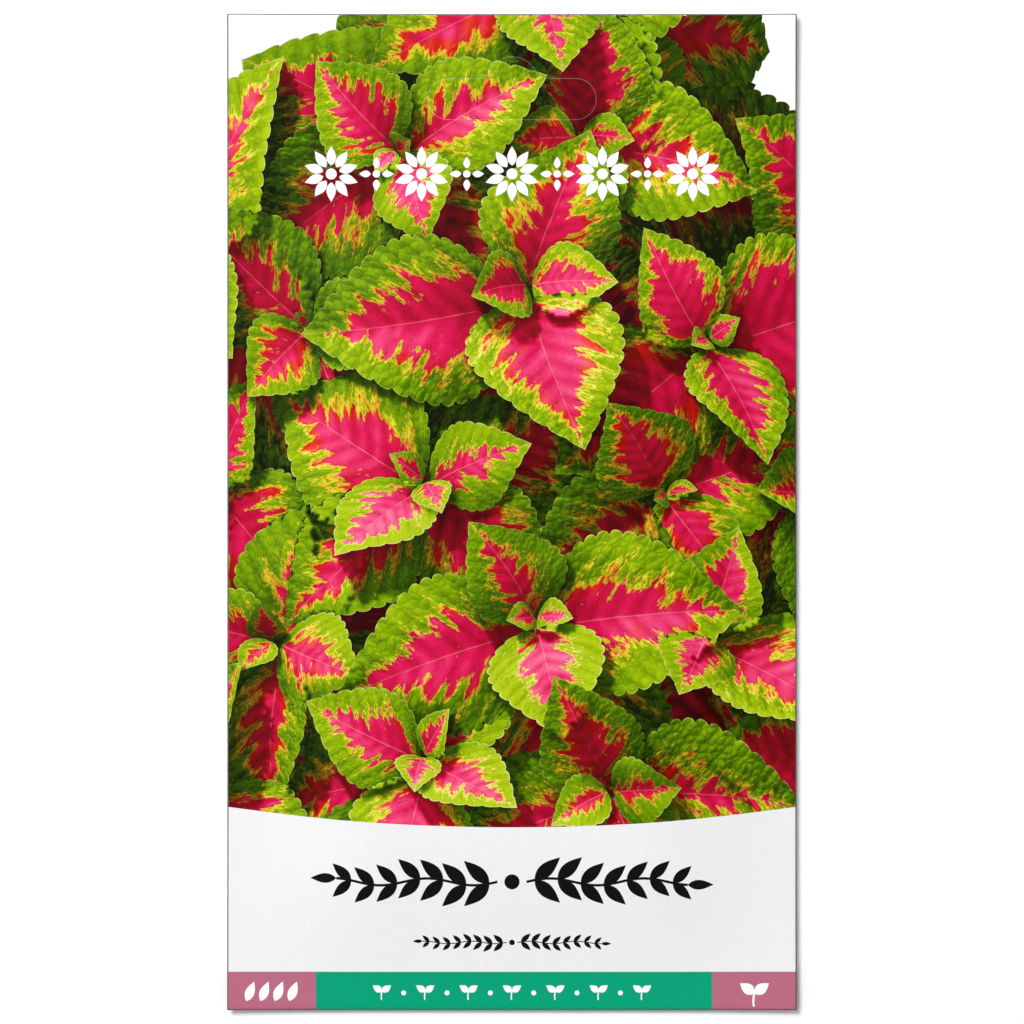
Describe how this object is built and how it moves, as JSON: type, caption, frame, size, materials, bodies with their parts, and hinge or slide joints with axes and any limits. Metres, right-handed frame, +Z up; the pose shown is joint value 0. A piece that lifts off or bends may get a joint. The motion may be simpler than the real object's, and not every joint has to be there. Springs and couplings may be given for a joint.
{
  "type": "seed packet",
  "caption": "Flat folded paper seed packet with a foliage picture, a pale label panel, a nicked press-out hang slot, an inner glassine bag and loose fine seeds.",
  "frame": {"origin": "centre of the packet's base, on the surface that it lies on", "axes": "+Z up out of the printed front, +Y along the packet towards the hang slot, +X to the right across the front"},
  "size_m": [0.092, 0.161, 0.0032],
  "materials": {
    "coated_paper": "silk coated, printed outside, white core",
    "glassine": "smooth translucent",
    "seed_coat": "matte dark brown"
  },
  "bodies": {
    "root": {"envelope": "coated_paper", "inner_bag": "glassine", "seed_01": "seed_coat", "seed_02": "seed_coat", "seed_03": "seed_coat", "seed_04": "seed_coat", "seed_05": "seed_coat", "seed_06": "seed_coat", "seed_07": "seed_coat", "seed_08": "seed_coat", "seed_09": "seed_coat", "seed_10": "seed_coat", "seed_11": "seed_coat", "seed_12": "seed_coat", "seed_13": "seed_coat", "seed_14": "seed_coat", "seed_15": "seed_coat", "seed_16": "seed_coat", "seed_17": "seed_coat", "seed_18": "seed_coat", "seed_19": "seed_coat", "seed_20": "seed_coat", "seed_21": "seed_coat", "seed_22": "seed_coat", "seed_23": "seed_coat", "seed_24": "seed_coat", "seed_25": "seed_coat", "seed_26": "seed_coat", "seed_27": "seed_coat", "seed_28": "seed_coat", "seed_29": "seed_coat", "seed_30": "seed_coat", "seed_31": "seed_coat", "seed_32": "seed_coat"}
  },
  "joints": []
}
